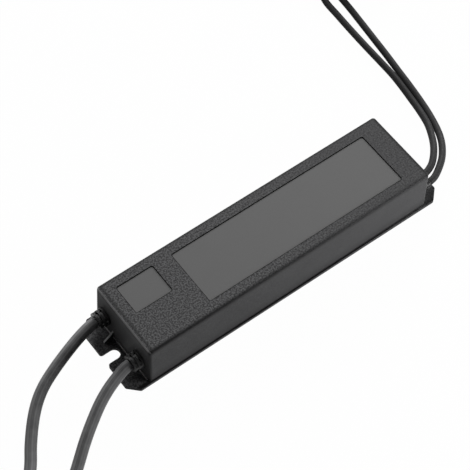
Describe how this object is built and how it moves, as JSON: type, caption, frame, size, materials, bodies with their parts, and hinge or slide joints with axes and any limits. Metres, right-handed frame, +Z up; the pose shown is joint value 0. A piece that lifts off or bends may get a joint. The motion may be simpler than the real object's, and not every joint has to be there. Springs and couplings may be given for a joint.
{
  "type": "neon sign transformer",
  "caption": "Electronic neon sign transformer in a flat moulded case with slotted mounting tabs, high-voltage leads at one end and supply leads at the other",
  "frame": {"origin": "centre of the base the unit stands on", "axes": "+X runs along the case to the supply end, +Y to the long side with the small label, +Z up out of the labelled top"},
  "size_m": [0.4439, 0.2009, 0.028],
  "materials": {
    "case_plastic": "finely grained black moulding",
    "label_film": "smooth satin grey film",
    "resin": "poured black resin with a level surface",
    "relief_plastic": "satin black",
    "lead_jacket": "satin dark grey insulation",
    "tie_nylon": "satin black",
    "board_laminate": "green lacquered laminate",
    "zinc_steel": "zinc plated",
    "brass": "satin",
    "nickel": "nickel plated",
    "aluminium": "mill finish",
    "ferrite": "matt dark grey, ground",
    "ring_green": "green lacquer on ferrite",
    "bobbin_plastic": "moulded, cream",
    "enamelled_wire": "enamelled copper wire",
    "fine_wire": "fine enamelled copper wire",
    "disc_blue": "lacquered disc",
    "film_red": "smooth",
    "film_yellow": "smooth",
    "resistor_tan": "lacquered",
    "black_epoxy": "moulded epoxy",
    "sleeve_dark_blue": "shrunk plastic sleeve",
    "fuse_glass": "clear",
    "terminal_plastic": "satin blue"
  },
  "bodies": {
    "root": {"case": "case_plastic", "label_large": "label_film", "label_small": "label_film", "resin_seal": "resin", "strain_relief_left": "relief_plastic", "strain_relief_right": "relief_plastic", "supply_bush_front": "relief_plastic", "supply_bush_rear": "relief_plastic", "circuit_board": "board_laminate", "board_screws": "zinc_steel", "hv_lead_tails": "lead_jacket", "hv_terminals": "brass", "hv_capacitors": "disc_blue", "core_half_hv": "ferrite", "core_half_supply": "ferrite", "core_clip": "zinc_steel", "bobbin": "bobbin_plastic", "primary_winding": "enamelled_wire", "secondary_winding": "fine_wire", "resonant_capacitor": "film_red", "resistors": "resistor_tan", "heat_sink": "aluminium", "transistor_left": "black_epoxy", "transistor_right": "black_epoxy", "transistor_screws": "zinc_steel", "reservoir_capacitor_front": "sleeve_dark_blue", "reservoir_capacitor_rear": "sleeve_dark_blue", "bridge_rectifier": "black_epoxy", "drive_core": "ring_green", "drive_winding": "enamelled_wire", "control_chip": "black_epoxy", "choke_core": "ring_green", "choke_windings": "enamelled_wire", "noise_capacitor": "film_yellow", "fuse_glass": "fuse_glass", "fuse_caps": "nickel", "fuse_clips": "brass", "supply_terminal": "terminal_plastic", "terminal_screws": "zinc_steel", "supply_lead_tails": "lead_jacket", "hv_lead_left": "lead_jacket", "hv_lead_right": "lead_jacket", "hv_coil_lower": "lead_jacket", "hv_coil_upper": "lead_jacket", "hv_coil_tie": "tie_nylon", "supply_lead_front": "lead_jacket", "supply_lead_rear": "lead_jacket", "supply_coil_lower": "lead_jacket", "supply_coil_upper": "lead_jacket", "supply_coil_tie": "tie_nylon"}
  },
  "joints": []
}
